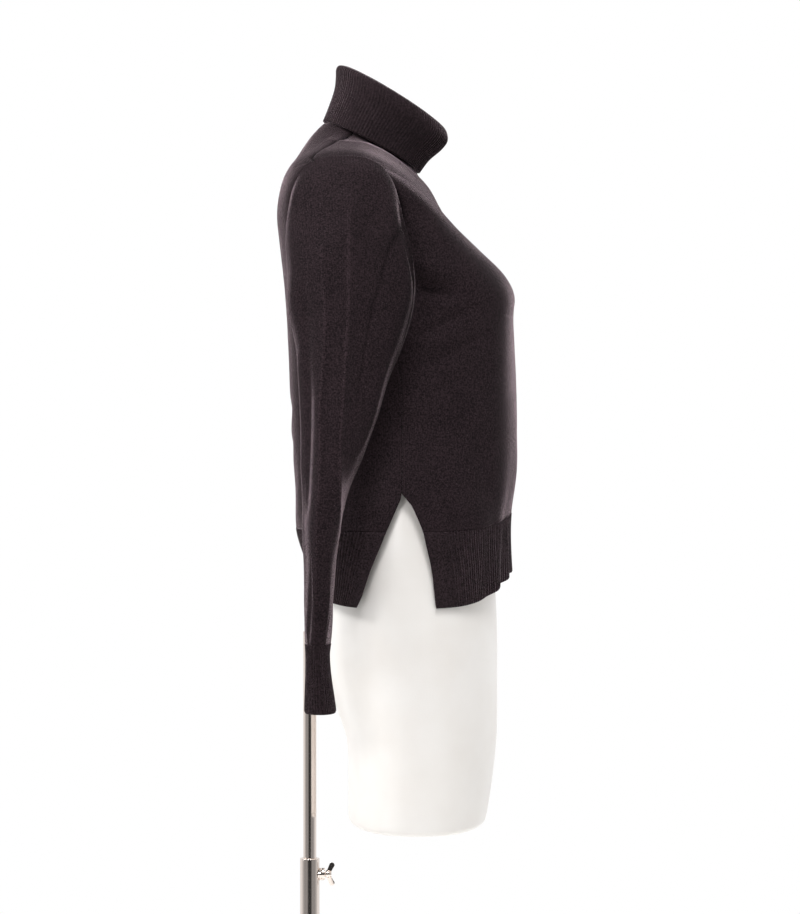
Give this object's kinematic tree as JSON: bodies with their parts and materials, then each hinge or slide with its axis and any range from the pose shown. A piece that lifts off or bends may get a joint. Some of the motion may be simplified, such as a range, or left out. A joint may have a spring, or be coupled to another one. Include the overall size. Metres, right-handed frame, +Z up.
{
  "type": "turtleneck sweater on a dress form with a metal stand",
  "caption": "Long-sleeved sweater with a folded ribbed collar, side slits and ribbed hem, worn by a limbless dress form on a height-adjustable metal stand.",
  "frame": {"origin": "on the floor, under the middle of the whole part's bounding box", "axes": "+Z up, the front of the sweater faces -Y, the wearer's right side is -X"},
  "size_m": [0.5134, 0.38, 1.4834],
  "materials": {
    "jersey": "fine soft jersey knit, matt, with a light nap",
    "rib_knit": "narrow rib knit, matt",
    "form_shell": "smooth satin white shell",
    "chrome_steel": "polished chrome plate",
    "brushed_foot": "brushed steel"
  },
  "bodies": {
    "stand": {"base_plate": "brushed_foot", "stand_tube": "chrome_steel", "clamp_boss": "chrome_steel"},
    "mast": {"mast_rod": "chrome_steel", "rod_bracket": "chrome_steel", "dress_form": "form_shell", "front_panel": "jersey", "back_panel": "jersey", "front_welt": "rib_knit", "back_welt": "rib_knit", "collar": "rib_knit", "sleeve_right": "jersey", "sleeve_left": "jersey", "cuff_right": "rib_knit", "cuff_left": "rib_knit"},
    "screw": {"wing_screw": "chrome_steel"}
  },
  "joints": [
    {"name": "mast_height", "type": "slide", "parent": "stand", "child": "mast", "axis": [0, 0, 1], "range_m": [-0.13, 0.1]},
    {"name": "screw_turn", "type": "hinge", "parent": "stand", "child": "screw", "pos_m": [0, 0.08, 0.58], "axis": [0, 1, 0], "range_deg": [-720, 0]}
  ]
}
